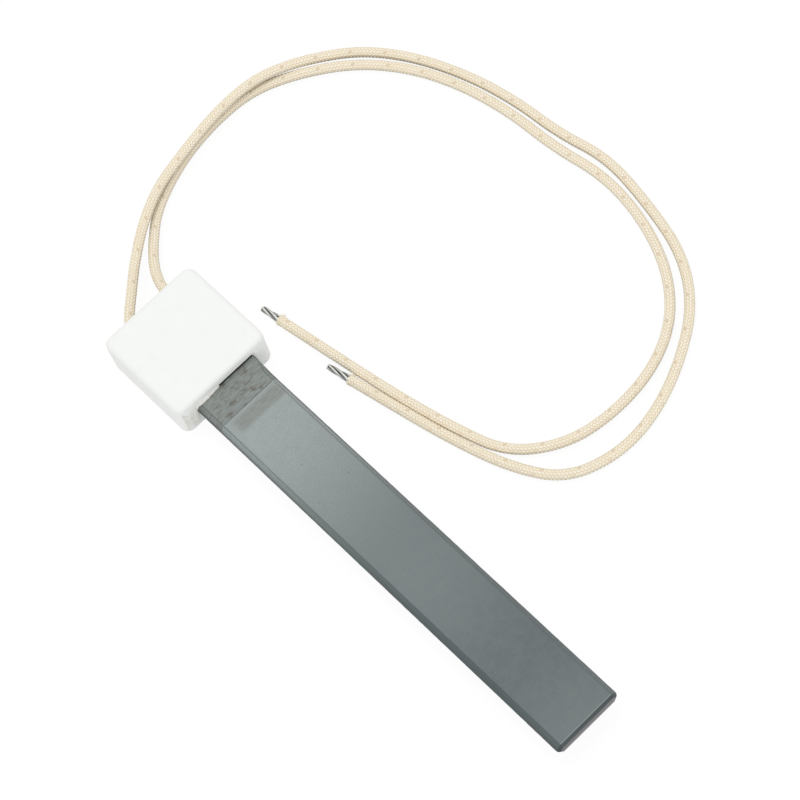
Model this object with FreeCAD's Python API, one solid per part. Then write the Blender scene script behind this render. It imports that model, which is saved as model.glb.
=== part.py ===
import FreeCAD, Part
import math
import os

# Hot surface igniter: a flat silicon nitride heater blade cemented into a small ceramic
# holder block, with two sleeved leads that leave the back of the block and lie in a loop
# beside it.
# Millimetres. The origin is the centre of the block's underside. +X runs along the blade
# to its tip, +Y is the blade's right-hand side and +Z is up. Left is -Y.

Vector = FreeCAD.Vector

# Holder block, a pressed ceramic box that is open at the back
holder_length = 25.5
holder_width = 26.0
holder_height = 11.0
holder_corner_radius = 2.2
holder_top_radius = 1.2
holder_base_radius = 0.8
front_wall = 3.0
side_wall = 2.6
floor_wall = 2.0
roof_wall = 2.0
cavity_corner_radius = 1.0
potting_recess = 0.4

# Heater blade, sintered in one piece
blade_width = 17.0
blade_thickness = 4.0
blade_reach = 110.0
blade_root_depth = 11.5
blade_base_height = 4.0
blade_bevel_width = 1.25
blade_bevel_drop = 1.85
blade_tip_break = 0.5
blade_corner_cut = 0.9

# Slot for the blade in the block's front wall
slot_side_gap = 0.4
slot_gap_below = 0.3
slot_gap_above = 0.6
slot_corner_radius = 0.5

# Cement: open groove over the blade's right part and a bead over its left part
groove_depth = 1.2
groove_start = -1.8
bead_reach = 0.5
bead_wave = 0.15
bead_root = 0.4
bead_low_share = 0.35
bead_high_share = 0.65

# Heater track, printed on an inner layer of the blade
track_thickness = 0.2
leg_width = 2.2
hot_width = 0.9
hot_runs = 4
hot_length = 36.0
hot_tip_margin = 5.0
post_width = 1.4

# Terminals at the blade's root
terminal_pitch = 11.8
pad_length = 4.5
pad_width = 2.4
pad_thickness = 0.12
pad_root_margin = 0.4
tab_width = 1.6
tab_thickness = 0.3
tab_pad_overlap = 3.9
tab_overhang = 0.9
tab_slope_length = 1.7
tab_bend_radius = 0.8
tab_crimp_insert = 2.0
lead_height = 5.5

# Crimps and conductors between the tabs and the sleeved leads
crimp_diameter = 2.4
crimp_length = 4.6
crimp_tab_gap = 0.5
crimp_flat_depth = 0.25
crimp_flat_length = 1.6
conductor_diameter = 1.4
conductor_insert = 2.1
sleeve_start = -8.5

# Sleeved leads
lead_diameter = 2.4
lead_rest_height = 1.25
tinned_length = 6.0
tinned_root_diameter = 1.9
tinned_tip_diameter = 1.4
tinned_tip_round = 0.3

# Shared proportion of a tube's bends, and the distance below which two places are one
bend_share = 0.45
same_place = 1e-6

# Left lead: into the cement, over the right lead and round in a loop on the surface
left_lead_route = [
    (sleeve_start, -terminal_pitch / 2, lead_height),
    (-11.5, -terminal_pitch / 2, lead_height),
    (-14.4, -4.85, 5.4),
    (-16.75, -2.85, 5.1),
    (-20.0, 0.5, 4.7),
    (-25.6, 6.3, 4.2),
    (-31.9, 13.6, 3.9),
    (-36.4, 22.0, 3.8),
    (-38.2, 32.0, 3.8),
    (-40.1, 43.0, 3.8),
    (-41.1, 52.5, 3.6),
    (-40.1, 60.0, 2.0),
    (-36.0, 68.3, lead_rest_height),
    (-28.7, 78.4, lead_rest_height),
    (-18.0, 85.5, lead_rest_height),
    (-5.0, 90.4, lead_rest_height),
    (8.0, 92.9, lead_rest_height),
    (20.5, 93.5, lead_rest_height),
    (33.0, 96.2, lead_rest_height),
    (47.0, 93.6, lead_rest_height),
    (61.3, 90.4, lead_rest_height),
    (72.0, 82.7, lead_rest_height),
    (79.4, 70.8, lead_rest_height),
    (83.8, 58.5, lead_rest_height),
    (84.4, 47.0, lead_rest_height),
    (80.2, 35.6, lead_rest_height),
    (69.5, 29.4, lead_rest_height),
    (56.5, 25.7, lead_rest_height),
    (42.0, 22.5, lead_rest_height),
    (29.9, 19.6, lead_rest_height),
]

# Right lead: down to the surface and round inside the left one
right_lead_route = [
    (sleeve_start, terminal_pitch / 2, lead_height),
    (-11.4, terminal_pitch / 2, lead_height),
    (-14.6, 6.0, 5.3),
    (-18.1, 6.8, 4.6),
    (-22.5, 9.0, 3.4),
    (-27.5, 13.2, 2.0),
    (-32.0, 18.5, 1.35),
    (-35.2, 25.0, lead_rest_height),
    (-38.2, 33.5, lead_rest_height),
    (-40.0, 43.5, lead_rest_height),
    (-39.3, 54.0, lead_rest_height),
    (-35.1, 64.5, lead_rest_height),
    (-26.9, 75.5, lead_rest_height),
    (-16.0, 83.2, lead_rest_height),
    (-4.0, 87.7, lead_rest_height),
    (9.0, 90.0, lead_rest_height),
    (22.0, 90.3, lead_rest_height),
    (36.0, 92.6, lead_rest_height),
    (49.5, 90.5, lead_rest_height),
    (62.0, 85.3, lead_rest_height),
    (71.2, 77.0, lead_rest_height),
    (76.1, 66.0, lead_rest_height),
    (77.1, 53.5, lead_rest_height),
    (74.8, 41.5, lead_rest_height),
    (66.9, 31.9, lead_rest_height),
    (54.0, 28.2, lead_rest_height),
    (40.0, 24.5, lead_rest_height),
    (23.6, 22.1, lead_rest_height),
    (7.7, 19.4, lead_rest_height),
]

# Places worked out from the sizes above
front_face = holder_length / 2
back_face = -holder_length / 2
blade_root = front_face - blade_root_depth
blade_tip = front_face + blade_reach
blade_top = blade_base_height + blade_thickness
blade_middle = blade_base_height + blade_thickness / 2
terminal_side = terminal_pitch / 2
slot_base = blade_base_height - slot_gap_below
slot_top = blade_top + slot_gap_above
slot_half_width = blade_width / 2 + slot_side_gap
track_base = blade_middle - track_thickness / 2
track_top = blade_middle + track_thickness / 2
hot_end = blade_tip - hot_tip_margin
hot_start = hot_end - hot_length
pad_start = blade_root + pad_root_margin
pad_middle = pad_start + pad_length / 2
tab_height = blade_top + pad_thickness + tab_thickness / 2
tab_bend = blade_root - tab_overhang
crimp_front = tab_bend - tab_slope_length - crimp_tab_gap
crimp_back = crimp_front - crimp_length
X_AXIS = Vector(1, 0, 0)
Y_AXIS = Vector(0, 1, 0)
Z_AXIS = Vector(0, 0, 1)


def vectors(points):
    """The points as vectors."""
    return [Vector(*point) for point in points]


def prism(points, direction):
    """A flat outline through the points, pushed along the direction."""
    corners = vectors(points)
    outline = Part.makePolygon(corners + corners[:1])
    return Part.Face(outline).extrude(direction)


def box(low, high):
    """A box from its lowest to its highest corner."""
    size = Vector(*high) - Vector(*low)
    return Part.makeBox(size.x, size.y, size.z, Vector(*low))


def edges_along(shape, axis):
    """The straight edges of a shape that run along an axis."""
    found = []
    for edge in shape.Edges:
        run = edge.Vertexes[-1].Point - edge.Vertexes[0].Point
        if run.Length > 0 and abs(abs(run.normalize().dot(axis)) - 1) < same_place:
            found.append(edge)
    return found


def edges_at_height(shape, height):
    """The edges of a shape that lie wholly at one height."""
    found = []
    for edge in shape.Edges:
        if all(abs(vertex.Z - height) < same_place for vertex in edge.Vertexes):
            found.append(edge)
    return found


def rounded_path(points, radii=None, set_radius=None):
    """Straight runs joined by tangent arcs, of a set radius or as large as two runs allow."""
    corners = vectors(points)
    edges = []
    start = corners[0]
    for before, corner, after in zip(corners, corners[1:], corners[2:]):
        back = before - corner
        ahead = after - corner
        half_turn = (math.pi - back.getAngle(ahead)) / 2
        radius = set_radius or bend_share * min(back.Length, ahead.Length) / math.tan(half_turn)
        cut = radius * math.tan(half_turn)
        back.normalize()
        ahead.normalize()
        inward = back + ahead
        inward.normalize()
        centre = corner + inward * (radius / math.cos(half_turn))
        first = corner + back * cut
        last = corner + ahead * cut
        middle = centre - inward * radius
        edges.append(Part.LineSegment(start, first).toShape())
        edges.append(Part.Arc(first, middle, last).toShape())
        start = last
        if radii is not None:
            radii.append(radius)
    edges.append(Part.LineSegment(start, corners[-1]).toShape())
    return Part.Wire(edges)


def round_tube(points, diameter, radii=None):
    """A round rod that follows the rounded path through the points."""
    path = rounded_path(points, radii)
    start = Vector(*points[0])
    heading = Vector(*points[1]) - start
    ring = Part.Wire(Part.makeCircle(diameter / 2, start, heading))
    return path.makePipeShell([ring], True, False)


def holder_cavity():
    """The hollow of the block, which opens through its back face."""
    low = (back_face - holder_length, side_wall - holder_width / 2, floor_wall)
    high = (front_face - front_wall, holder_width / 2 - side_wall, holder_height - roof_wall)
    hollow = box(low, high)
    return hollow.makeFillet(cavity_corner_radius, edges_along(hollow, X_AXIS))


def slot_prism():
    """The blade's slot, through the whole front wall."""
    low = (front_face - front_wall, -slot_half_width, slot_base)
    high = (front_face + front_wall, slot_half_width, slot_top)
    slot = box(low, high)
    return slot.makeFillet(slot_corner_radius, edges_along(slot, X_AXIS))


def make_holder_shell():
    """The block with rounded corners and softened edges, its hollow and its slot."""
    block = box(
        (back_face, -holder_width / 2, 0),
        (front_face, holder_width / 2, holder_height),
    )
    block = block.makeFillet(holder_corner_radius, edges_along(block, Z_AXIS))
    block = block.makeFillet(holder_top_radius, edges_at_height(block, holder_height))
    block = block.makeFillet(holder_base_radius, edges_at_height(block, 0))
    return block.cut(holder_cavity()).cut(slot_prism())


def blade_section():
    """The blade's cross-section, with its long sides bevelled to a narrow land."""
    half = blade_width / 2
    flat = half - blade_bevel_width
    upper = blade_top - blade_bevel_drop
    lower = blade_base_height + blade_bevel_drop
    return [
        (blade_root, -flat, blade_top),
        (blade_root, flat, blade_top),
        (blade_root, half, upper),
        (blade_root, half, lower),
        (blade_root, flat, blade_base_height),
        (blade_root, -flat, blade_base_height),
        (blade_root, -half, lower),
        (blade_root, -half, upper),
    ]


def blade_plan():
    """The blade seen from above, with its two tip corners cut off."""
    half = blade_width / 2
    inner = half - blade_corner_cut
    shoulder = blade_tip - blade_corner_cut
    return [
        (blade_root, -half, blade_base_height),
        (shoulder, -half, blade_base_height),
        (blade_tip, -inner, blade_base_height),
        (blade_tip, inner, blade_base_height),
        (shoulder, half, blade_base_height),
        (blade_root, half, blade_base_height),
    ]


def blade_profile():
    """The blade seen from its side, with the tip's upper and lower edges broken."""
    half = blade_width / 2
    shoulder = blade_tip - blade_tip_break
    return [
        (blade_root, -half, blade_base_height),
        (shoulder, -half, blade_base_height),
        (blade_tip, -half, blade_base_height + blade_tip_break),
        (blade_tip, -half, blade_top - blade_tip_break),
        (shoulder, -half, blade_top),
        (blade_root, -half, blade_top),
    ]


def solid_blade():
    """The blade's outer form, where its three outlines meet."""
    bar = prism(blade_section(), X_AXIS * (blade_tip - blade_root))
    bar = bar.common(prism(blade_plan(), Z_AXIS * blade_thickness))
    return bar.common(prism(blade_profile(), Y_AXIS * blade_width))


def track_run(start, end, width):
    """One straight run of the printed track, with square ends."""
    half = width / 2
    low = (min(start[0], end[0]) - half, min(start[1], end[1]) - half, track_base)
    high = (max(start[0], end[0]) + half, max(start[1], end[1]) + half, track_top)
    return box(low, high)


def make_heater_track():
    """The track: a narrow double hairpin near the tip, two wide legs and a post to each pad."""
    near = terminal_pitch / (hot_runs - 1) / 2
    corners = [
        (hot_start, terminal_side),
        (hot_end, terminal_side),
        (hot_end, near),
        (hot_start, near),
        (hot_start, -near),
        (hot_end, -near),
        (hot_end, -terminal_side),
        (hot_start, -terminal_side),
    ]
    runs = [track_run(start, end, hot_width) for start, end in zip(corners, corners[1:])]
    for side in (-1, 1):
        middle = side * terminal_side
        post_low = (pad_middle - post_width / 2, middle - post_width / 2, track_base)
        post_high = (pad_middle + post_width / 2, middle + post_width / 2, blade_top)
        runs.append(track_run((pad_middle, middle), (hot_start, middle), leg_width))
        runs.append(box(post_low, post_high))
    return runs[0].fuse(runs[1:]).removeSplitter()


def make_contact_pad(side):
    """A thin metallised pad on the blade's root, over one end of the track."""
    middle = side * terminal_side
    return box(
        (pad_start, middle - pad_width / 2, blade_top),
        (pad_start + pad_length, middle + pad_width / 2, blade_top + pad_thickness),
    )


def make_nickel_tab(side):
    """A flat strip that lies on the pad, steps down behind the blade and enters the crimp."""
    middle = side * terminal_side
    path = rounded_path(
        [
            (pad_start + tab_pad_overlap, middle, tab_height),
            (tab_bend, middle, tab_height),
            (tab_bend - tab_slope_length, middle, lead_height),
            (crimp_front - tab_crimp_insert, middle, lead_height),
        ],
        set_radius=tab_bend_radius,
    )
    start = pad_start + tab_pad_overlap
    half_width = tab_width / 2
    half_thickness = tab_thickness / 2
    corners = vectors(
        [
            (start, middle - half_width, tab_height - half_thickness),
            (start, middle + half_width, tab_height - half_thickness),
            (start, middle + half_width, tab_height + half_thickness),
            (start, middle - half_width, tab_height + half_thickness),
        ]
    )
    section = Part.makePolygon(corners + corners[:1])
    return path.makePipeShell([section], True, False)


def make_conductor(side):
    """The bare stranded wire between the crimp and the end of the lead's sleeve."""
    front = crimp_back + conductor_insert
    start = Vector(sleeve_start, side * terminal_side, lead_height)
    return Part.makeCylinder(conductor_diameter / 2, front - sleeve_start, start, X_AXIS)


def make_crimp_sleeve(side, tab, conductor):
    """A barrel pressed flat above and below, closed round the tab and the conductor."""
    middle = side * terminal_side
    radius = crimp_diameter / 2
    start = Vector(crimp_back, middle, lead_height)
    barrel = Part.makeCylinder(radius, crimp_length, start, X_AXIS)
    flat_start = crimp_back + (crimp_length - crimp_flat_length) / 2
    for direction in (-1, 1):
        near = lead_height + direction * (radius - crimp_flat_depth)
        far = near + direction * crimp_diameter
        press = box(
            (flat_start, middle - crimp_diameter, min(near, far)),
            (flat_start + crimp_flat_length, middle + crimp_diameter, max(near, far)),
        )
        barrel = barrel.cut(press)
    return barrel.cut(tab).cut(conductor)


def cement_bead():
    """The uneven lip of cement over the left part of the blade at the slot's mouth."""
    back = front_face - bead_root
    left = -slot_half_width + slot_corner_radius
    span = groove_start - left
    low_place = groove_start - span * bead_low_share
    high_place = groove_start - span * bead_high_share
    front_points = vectors(
        [
            (back, groove_start, blade_top),
            (front_face + bead_reach - bead_wave, low_place, blade_top),
            (front_face + bead_reach, high_place, blade_top),
            (front_face, left, blade_top),
        ]
    )
    lip = Part.BSplineCurve()
    lip.interpolate(front_points)
    corner = Vector(back, left, blade_top)
    outline = Part.Wire(
        [
            lip.toShape(),
            Part.LineSegment(front_points[-1], corner).toShape(),
            Part.LineSegment(corner, front_points[0]).toShape(),
        ]
    )
    return Part.Face(outline).extrude(Z_AXIS * slot_gap_above)


def make_potting_cement(inner_pieces):
    """The cement that fills the hollow and the slot round everything that lies in them."""
    open_end = box(
        (back_face - holder_length, -holder_width, 0),
        (back_face + potting_recess, holder_width, holder_height),
    )
    slot_end = box(
        (front_face, -holder_width, 0),
        (front_face + holder_length, holder_width, holder_height),
    )
    groove = box(
        (front_face - groove_depth, groove_start, blade_top),
        (front_face + holder_length, holder_width, holder_height),
    )
    fill = holder_cavity().cut(open_end)
    fill = fill.fuse(slot_prism().cut(slot_end).cut(groove))
    fill = fill.fuse(cement_bead()).removeSplitter()
    for piece in inner_pieces:
        fill = fill.cut(piece)
    return fill


def make_tinned_end(route):
    """The stripped and tinned end of a lead, tapered, with a rounded tip."""
    end = Vector(*route[-1])
    heading = end - Vector(*route[-2])
    heading.normalize()
    cone = Part.makeCone(
        tinned_root_diameter / 2, tinned_tip_diameter / 2, tinned_length, end, heading
    )
    tip = end + heading * tinned_length
    rim = [edge for edge in cone.Edges if (edge.Vertexes[0].Point - tip).Length < tinned_tip_diameter]
    return cone.makeFillet(tinned_tip_round, rim[:1])


def report_lead(name, route, tube, radii):
    """Print a lead's bends, and its volume against its section times its length."""
    section = math.pi * (lead_diameter / 2) ** 2
    length = rounded_path(route).Length
    print(name, "length", round(length, 1), "smallest radius", round(min(radii), 1))
    print(name, "radii", [round(radius, 1) for radius in radii])
    print(name, "volume over section times length", round(tube.Volume / (section * length), 5))
    print(name, "lowest point", round(tube.BoundBox.ZMin, 3))


def build():
    """Every node's solid by its name."""
    nodes = {}
    routes = {"left": (-1, left_lead_route), "right": (1, right_lead_route)}
    for name, (side, route) in routes.items():
        radii = []
        lead = round_tube(route, lead_diameter, radii)
        tab = make_nickel_tab(side)
        conductor = make_conductor(side)
        nodes["contact_pad_" + name] = make_contact_pad(side)
        nodes["nickel_tab_" + name] = tab
        nodes["crimp_sleeve_" + name] = make_crimp_sleeve(side, tab, conductor)
        nodes["conductor_" + name] = conductor
        nodes["lead_" + name] = lead
        report_lead("lead_" + name, route, lead, radii)
    blade = solid_blade()
    potting = make_potting_cement([blade] + list(nodes.values()))
    for name, (side, route) in routes.items():
        nodes["tinned_end_" + name] = make_tinned_end(route)
    track = make_heater_track()
    nodes["heater_track"] = track
    nodes["heater_blade"] = blade.cut(track)
    nodes["holder_shell"] = make_holder_shell()
    nodes["potting_cement"] = potting
    return nodes


def main():
    """Write one STEP file for each node."""
    os.makedirs("parts", exist_ok=True)
    for name, shape in build().items():
        solids = len(shape.Solids)
        print(name, "solids", solids, "volume", round(shape.Volume, 2), "valid", shape.isValid())
        shape.exportStep("parts/" + name + ".step")


main()
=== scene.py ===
import math

import bpy
import numpy as np
from bpy.props import FloatProperty, FloatVectorProperty, IntProperty, PointerProperty
from bpy.types import Operator, Panel, PropertyGroup
from mathutils import Matrix, Vector, noise


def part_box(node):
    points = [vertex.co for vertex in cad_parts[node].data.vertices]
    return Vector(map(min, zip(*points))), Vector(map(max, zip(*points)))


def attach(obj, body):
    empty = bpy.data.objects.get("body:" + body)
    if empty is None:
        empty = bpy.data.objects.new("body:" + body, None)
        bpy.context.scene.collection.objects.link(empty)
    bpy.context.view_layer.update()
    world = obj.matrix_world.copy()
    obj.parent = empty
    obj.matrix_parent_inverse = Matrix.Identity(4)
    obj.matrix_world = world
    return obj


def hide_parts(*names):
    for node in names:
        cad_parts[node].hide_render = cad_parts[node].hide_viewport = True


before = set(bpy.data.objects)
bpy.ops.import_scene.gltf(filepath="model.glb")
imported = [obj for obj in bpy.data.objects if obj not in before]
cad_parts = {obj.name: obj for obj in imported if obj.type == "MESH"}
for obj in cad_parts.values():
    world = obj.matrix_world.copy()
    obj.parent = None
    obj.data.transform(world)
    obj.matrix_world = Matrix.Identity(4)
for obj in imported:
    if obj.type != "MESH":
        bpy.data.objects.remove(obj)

bl_info = {
    "name": "Hot surface igniter",
    "version": (1, 0, 0),
    "blender": (4, 5, 0),
    "location": "3D View > Sidebar > Igniter",
    "description": "Dresses the igniter's frame: ceramic block, nitride blade, cement and braided leads",
    "category": "Add Mesh",
}

# Metres, in the frame's axes: +X to the blade's tip, +Y to its right, +Z up
MM = 0.001
HOLDER_LOW, HOLDER_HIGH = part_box("holder_shell")
BLADE_LOW, BLADE_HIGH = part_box("heater_blade")
CEMENT_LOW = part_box("potting_cement")[0]
FRONT_FACE = HOLDER_HIGH.x
BACK_FACE = HOLDER_LOW.x
BLADE_TOP = BLADE_HIGH.z
BLADE_HALF = BLADE_HIGH.y

# Height of a lead's middle where it lies on the floor, in millimetres
REST = 1.25
# The leads' routes in millimetres: the frame's own, with a few points moved by a millimetre or two
ROUTES_MM = {
    "left": [
        (-8.5, -5.9, 5.5), (-11.5, -5.9, 5.5), (-14.4, -4.85, 5.4), (-16.75, -2.85, 5.1),
        (-20.0, 0.5, 4.7), (-25.6, 6.3, 4.2), (-31.5, 13.9, 3.9), (-36.0, 22.3, 3.8),
        (-38.2, 32.0, 3.8), (-40.1, 43.0, 3.8), (-40.4, 52.4, 3.8), (-39.1, 59.7, 3.5),
        (-35.9, 68.2, 2.0), (-28.7, 78.4, REST), (-18.0, 85.5, REST), (-5.0, 90.4, REST),
        (8.0, 92.9, REST), (20.5, 93.5, REST), (33.0, 96.2, REST), (47.0, 94.1, REST),
        (61.3, 90.4, REST), (72.0, 82.7, REST), (79.4, 70.8, REST), (83.8, 58.5, REST),
        (84.4, 47.0, REST), (80.2, 35.6, REST), (69.5, 29.4, REST), (56.6, 25.6, REST),
        (42.0, 22.5, REST), (29.6, 20.1, REST),
    ],
    "right": [
        (-8.5, 5.9, 5.5), (-11.4, 5.9, 5.5), (-14.6, 6.0, 5.3), (-18.1, 6.8, 4.6),
        (-22.5, 9.0, 3.4), (-27.6, 13.1, 2.0), (-32.4, 18.1, 1.35), (-35.8, 24.5, REST),
        (-38.7, 33.0, REST), (-40.2, 43.3, REST), (-39.8, 54.1, REST), (-35.2, 64.4, REST),
        (-26.9, 75.5, REST), (-16.0, 83.2, REST), (-4.0, 87.7, REST), (9.0, 90.0, REST),
        (22.0, 90.3, REST), (36.0, 92.6, REST), (49.5, 90.5, REST), (62.0, 85.3, REST),
        (71.2, 77.0, REST), (76.1, 66.0, REST), (77.1, 53.5, REST), (74.8, 41.5, REST),
        (66.9, 31.4, REST), (54.5, 27.6, REST), (40.0, 24.5, REST), (23.9, 21.9, REST),
        (7.7, 19.4, REST),
    ],
}
LEAD_ROUTES = {
    side: [tuple(part * MM for part in point) for point in route] for side, route in ROUTES_MM.items()
}
BARE_LENGTHS = {"left": 6.0 * MM, "right": 5.1 * MM}

# Where the painted reflection on the blade fades away from the block and comes back a little near the
# tip: from and to, as shares of its bare length, and by how much
SHEEN_FADE_STEPS = ((0.12, 0.52, 0.77), (0.55, 0.85, 0.25), (0.82, 1.0, -0.18))
# Insets in millimetres of the rings that fill the block's flat faces
BASE_RINGS = (8.0, 4.0, 1.8)
TOP_RINGS = (1.8, 3.0, 5.0, 8.0)
# Least radius of the rings' corners
LEAST_CORNER = 0.3 * MM
# How far the slot's cut reaches into the hollow
CUT_BEYOND = 0.5 * MM
# Stations along the blade, and round its tip corners, which start at the tip zone
BLADE_STATIONS = 240
TIP_STATIONS = 14
TIP_ZONE = 1.2 * MM
# Points of the small rounding at each corner of the blade's section
CORNER_POINTS = 4
# Least width of the flat parts of that section
LEAST_FLAT = 0.1 * MM
# Share of the right bevel that is ground where the blade leaves the block
LEAST_GROUND = 0.2
# Height at which the lowest threads of a sleeve lie flat on the floor
FLOOR_GAP = 0.02 * MM

# Where the camera and the lamps look, and where the lamps stand
CAMERA_TARGET = Vector((40.66, 24.45, 0)) * MM
LAMP_TARGET = Vector((0.04, 0.02, 0))
KEY_PLACE = Vector((-0.3, 0.05, 0.95))
FILL_PLACE = Vector((0.7, -0.1, 0.3))
KEY_WIDTH = 0.5
FILL_WIDTH = 0.4
FLOOR_HALF = 1.5
FLOOR_DROP = 0.05 * MM
# Strength of the floor's own white, and its share in what the camera sees of the floor
FLOOR_WHITE = 1.04
FLOOR_SHARE = 0.88


def size(description, default):
    """A setting that is a length."""
    return FloatProperty(
        description=description, default=default, min=0, precision=5, subtype="DISTANCE", unit="LENGTH"
    )


def share(description, default):
    """A setting without a unit."""
    return FloatProperty(description=description, default=default, min=0)


def count(description, default, least):
    """A setting that is a whole number."""
    return IntProperty(description=description, default=default, min=least)


def colour(what, default):
    """A setting that is the colour of something."""
    return FloatVectorProperty(
        description="Colour of " + what, default=default, min=0, max=1, size=3, subtype="COLOR"
    )


class HolderSettings(PropertyGroup):
    """Sizes and colours of the ceramic block."""

    corner_radius: size("Radius of the block's upright corners", 2.2 * MM)
    top_radius: size("Radius of the block's top edges", 1.2 * MM)
    base_radius: size("Radius of the block's bottom edges", 0.8 * MM)
    side_wall: size("Thickness of the block's sides", 2.6 * MM)
    flat_wall: size("Thickness of the block's floor and roof", 2.0 * MM)
    front_wall: size("Thickness of the block's front", 3.0 * MM)
    hollow_radius: size("Radius of the hollow's long edges", 1.0 * MM)
    slot_radius: size("Radius of the slot's corners", 0.5 * MM)
    slot_side: size("Room beside the blade in its slot", 0.4 * MM)
    slot_base: size("Room under the blade in its slot", 0.3 * MM)
    slot_top: size("Room over the blade in its slot", 0.6 * MM)
    unevenness: size("How far the pressed faces wander", 0.02 * MM)
    ceramic: colour("the white block", (0.93, 0.945, 0.925))
    shade: colour("its duller patches", (0.905, 0.92, 0.895))


class BladeSettings(PropertyGroup):
    """Sizes and colours of the heater blade."""

    bevel_width: size("How far the long bevels reach in from the sides", 1.25 * MM)
    bevel_drop: size("How far the long bevels reach down", 1.85 * MM)
    run_out: size("Length over which the right bevel grows from the block", 5.0 * MM)
    tip_radius: size("Radius of each tip corner", 0.95 * MM)
    tip_break: size("How much is taken off the tip's edges", 0.7 * MM)
    edge_radius: size("Softening of the ground edges", 0.12 * MM)
    nick: size("How deep the ground edges are nicked", 0.05 * MM)
    line_place: size("Where the engraved line crosses the blade", 20.35 * MM)
    line_width: size("Width of the engraved line", 0.22 * MM)
    line_depth: size("Depth of the engraved line", 0.05 * MM)
    # Painted reflection: the blade's colour beside the block, lighter than its middle
    sheen_root_colour: colour("the face beside the block", (0.35, 0.398, 0.392))
    middle_colour: colour("the darker middle", (0.092, 0.117, 0.123))
    mottle: colour("the soft patches", (0.22, 0.23, 0.215))
    grain: colour("the fine dark grain", (0.10, 0.125, 0.125))
    pit: colour("the pits", (0.05, 0.055, 0.05))
    fleck: colour("the pale flecks", (0.34, 0.36, 0.33))
    etch: colour("the etched root", (0.165, 0.17, 0.148))
    stain: colour("its smudges", (0.11, 0.095, 0.072))
    band: colour("the soft band beyond the engraved line", (0.19, 0.2, 0.18))
    score: colour("the engraved line and of scored edges", (0.07, 0.085, 0.09))
    # Painted shade on the bevels, mixed with their ground streaks and scores
    bevel: colour("the ground bevels", (0.04, 0.058, 0.06))
    # Painted highlight along the tip's edge
    glint: colour("the bright line at the tip's edge", (0.52, 0.58, 0.57))
    # Painted shade on the tip's broken edge
    tip_edge_shade: colour("the tip's broken edge", (0.025, 0.037, 0.04))
    tip_face: colour("the tip's end", (0.125, 0.115, 0.118))
    # Painted shadow where the blade enters the block
    gap: colour("the gap at the block", (0.006, 0.006, 0.006))


class CementSettings(PropertyGroup):
    """Sizes and colours of the cement."""

    lip_reach: size("How far the lip reaches over the blade", 0.62 * MM)
    lip_height: size("How far the lip climbs up the block", 0.75 * MM)
    lip_end: size("How far left of the middle the lip ends", 1.6 * MM)
    lip_ripple: size("How far the lip's edge wanders", 0.10 * MM)
    set_back: size("How far the filling stays behind the front face", 0.03 * MM)
    smear_reach: size("How far left of the middle the smear starts", 12.2 * MM)
    smear_thickness: size("Greatest thickness of the smear", 0.16 * MM)
    collar_bore: size("Inner radius of the collars at the leads", 1.05 * MM)
    collar_width: size("How far the collars spread", 1.35 * MM)
    collar_height: size("How far the collars creep along the leads", 0.85 * MM)
    pale: colour("dry cement", (0.92, 0.915, 0.87))
    dark: colour("its damp patches", (0.72, 0.70, 0.62))


class LeadSettings(PropertyGroup):
    """Sizes and colours of the braided leads."""

    diameter: size("Outer diameter of the sleeve", 2.4 * MM)
    pitch: size("Length over which one yarn goes once round", 8.2 * MM)
    relief: size("Depth of the gaps between the yarns", 0.13 * MM)
    crest: size("How far the yarns stand out of the diameter", 0.02 * MM)
    bore: size("Radius of the sleeve's hole", 0.82 * MM)
    flare: size("How far the cut end opens", 0.10 * MM)
    flare_length: size("Length over which the cut end opens", 1.4 * MM)
    ragged: size("How uneven the cut is", 0.22 * MM)
    ragged_length: size("Length over which the cut is uneven", 0.8 * MM)
    mouth: size("How deep the cut end is hollow", 0.25 * MM)
    fibres: count("Loose fibres at the cut end", 60, 0)
    carriers: count("Yarns in each direction", 10, 4)
    around: count("Points in one ring", 50, 12)
    ring_spacing: size("Distance between rings", 0.161 * MM)
    yarn: colour("the yarns' crests", (0.985, 0.925, 0.78))
    # Painted shade in the gaps between the yarns
    gap: colour("the gaps between the yarns", (0.72, 0.57, 0.35))
    tracer: colour("the marker yarn", (0.42, 0.22, 0.08))
    warm: colour("the warmer stitches", (0.86, 0.70, 0.48))
    worn: colour("the duller stretches", (0.88, 0.76, 0.55))
    # Painted shade on the sleeve's underside
    under: colour("the sleeve's underside", (0.33, 0.28, 0.20))
    fibre: colour("the palest loose fibres", (0.95, 0.92, 0.84))


class StrandSettings(PropertyGroup):
    """Sizes and colours of the tinned ends."""

    root_diameter: size("Diameter of the bundle at the sleeve", 1.75 * MM)
    tip_diameter: size("Diameter of the bundle at its tip", 1.4 * MM)
    lay: size("Length over which a strand goes once round", 13.0 * MM)
    inside: size("How far the strands reach into the sleeve", 1.2 * MM)
    shortening: size("How much shorter each next strand is", 0.12 * MM)
    tip_round: size("Length over which a strand's tip is rounded", 0.22 * MM)
    outer: count("Strands round the core", 4, 3)
    tin: colour("the tinned copper", (0.52, 0.525, 0.50))
    # Painted shade in the strands' hollows, and the tin's duller smears
    dull: colour("its dull hollows", (0.08, 0.08, 0.072))


class StageSettings(PropertyGroup):
    """Camera, lamps and floor."""

    azimuth: share("Camera's turn round the part in degrees", 63.5)
    elevation: share("Camera's height over the floor in degrees", 65.0)
    roll: share("Camera's turn about its own axis in degrees, to the left", 18.94)
    distance: size("From the camera to the point that it looks at", 591.89 * MM)
    lens: share("Focal length in millimetres on a 36 mm sensor", 123.44)
    sky: share("Strength of the even light", 0.75)
    key: share("Power of the large lamp in watts", 2.1)
    fill: share("Power of the small lamp in front of the block in watts", 0.6)
    floor: colour("the floor", (0.9, 0.9, 0.9))


def operator_for(operation):
    """A Python operator on sockets that adds a Math node."""
    return lambda self, other: self.paint.maths(operation, self, other)


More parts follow.
